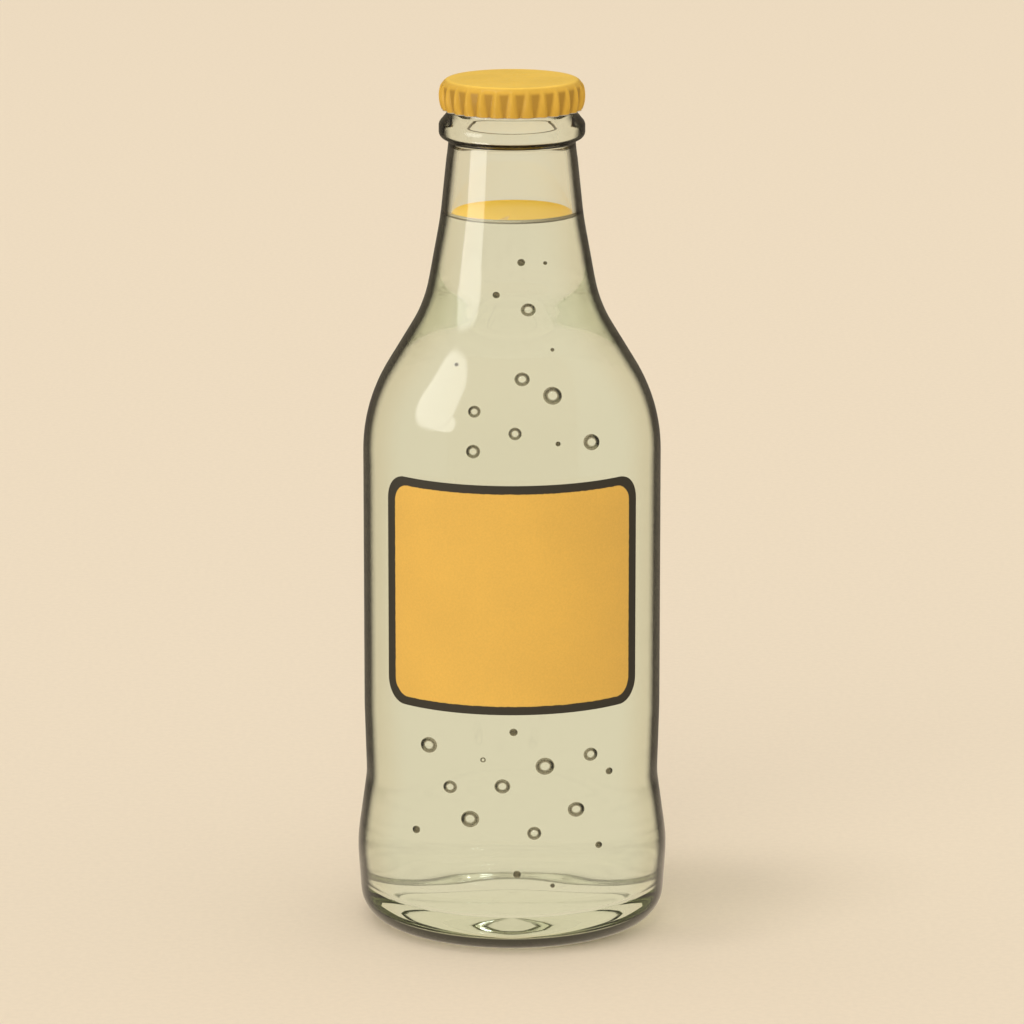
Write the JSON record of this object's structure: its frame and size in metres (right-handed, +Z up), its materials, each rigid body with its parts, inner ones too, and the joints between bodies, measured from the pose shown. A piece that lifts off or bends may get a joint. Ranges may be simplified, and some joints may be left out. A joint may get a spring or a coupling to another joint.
{
  "type": "tonic water bottle",
  "caption": "Small clear glass bottle of tonic water, filled to the neck, with a gold crimped crown closure and a blank golden front label.",
  "frame": {"origin": "centre of the standing ring's plane, on the bottle's axis", "axes": "+Z up along the bottle's axis; the label faces -Y; +X to the right of someone facing the label"},
  "size_m": [0.062, 0.062, 0.1706],
  "materials": {
    "glass": "clear flint glass with a faint grey-green tint, smooth and glossy",
    "drink": "clear sparkling water with small bubbles",
    "label_paper": "matt coated paper, golden yellow field inside a dark printed border",
    "crown_lacquer": "gold lacquer on tinplate, satin",
    "liner": "pale translucent sealing compound"
  },
  "bodies": {
    "root": {"bottle": "glass", "drink": "drink", "label": "label_paper", "crown_closure": "crown_lacquer", "crown_liner": "liner"}
  },
  "joints": []
}
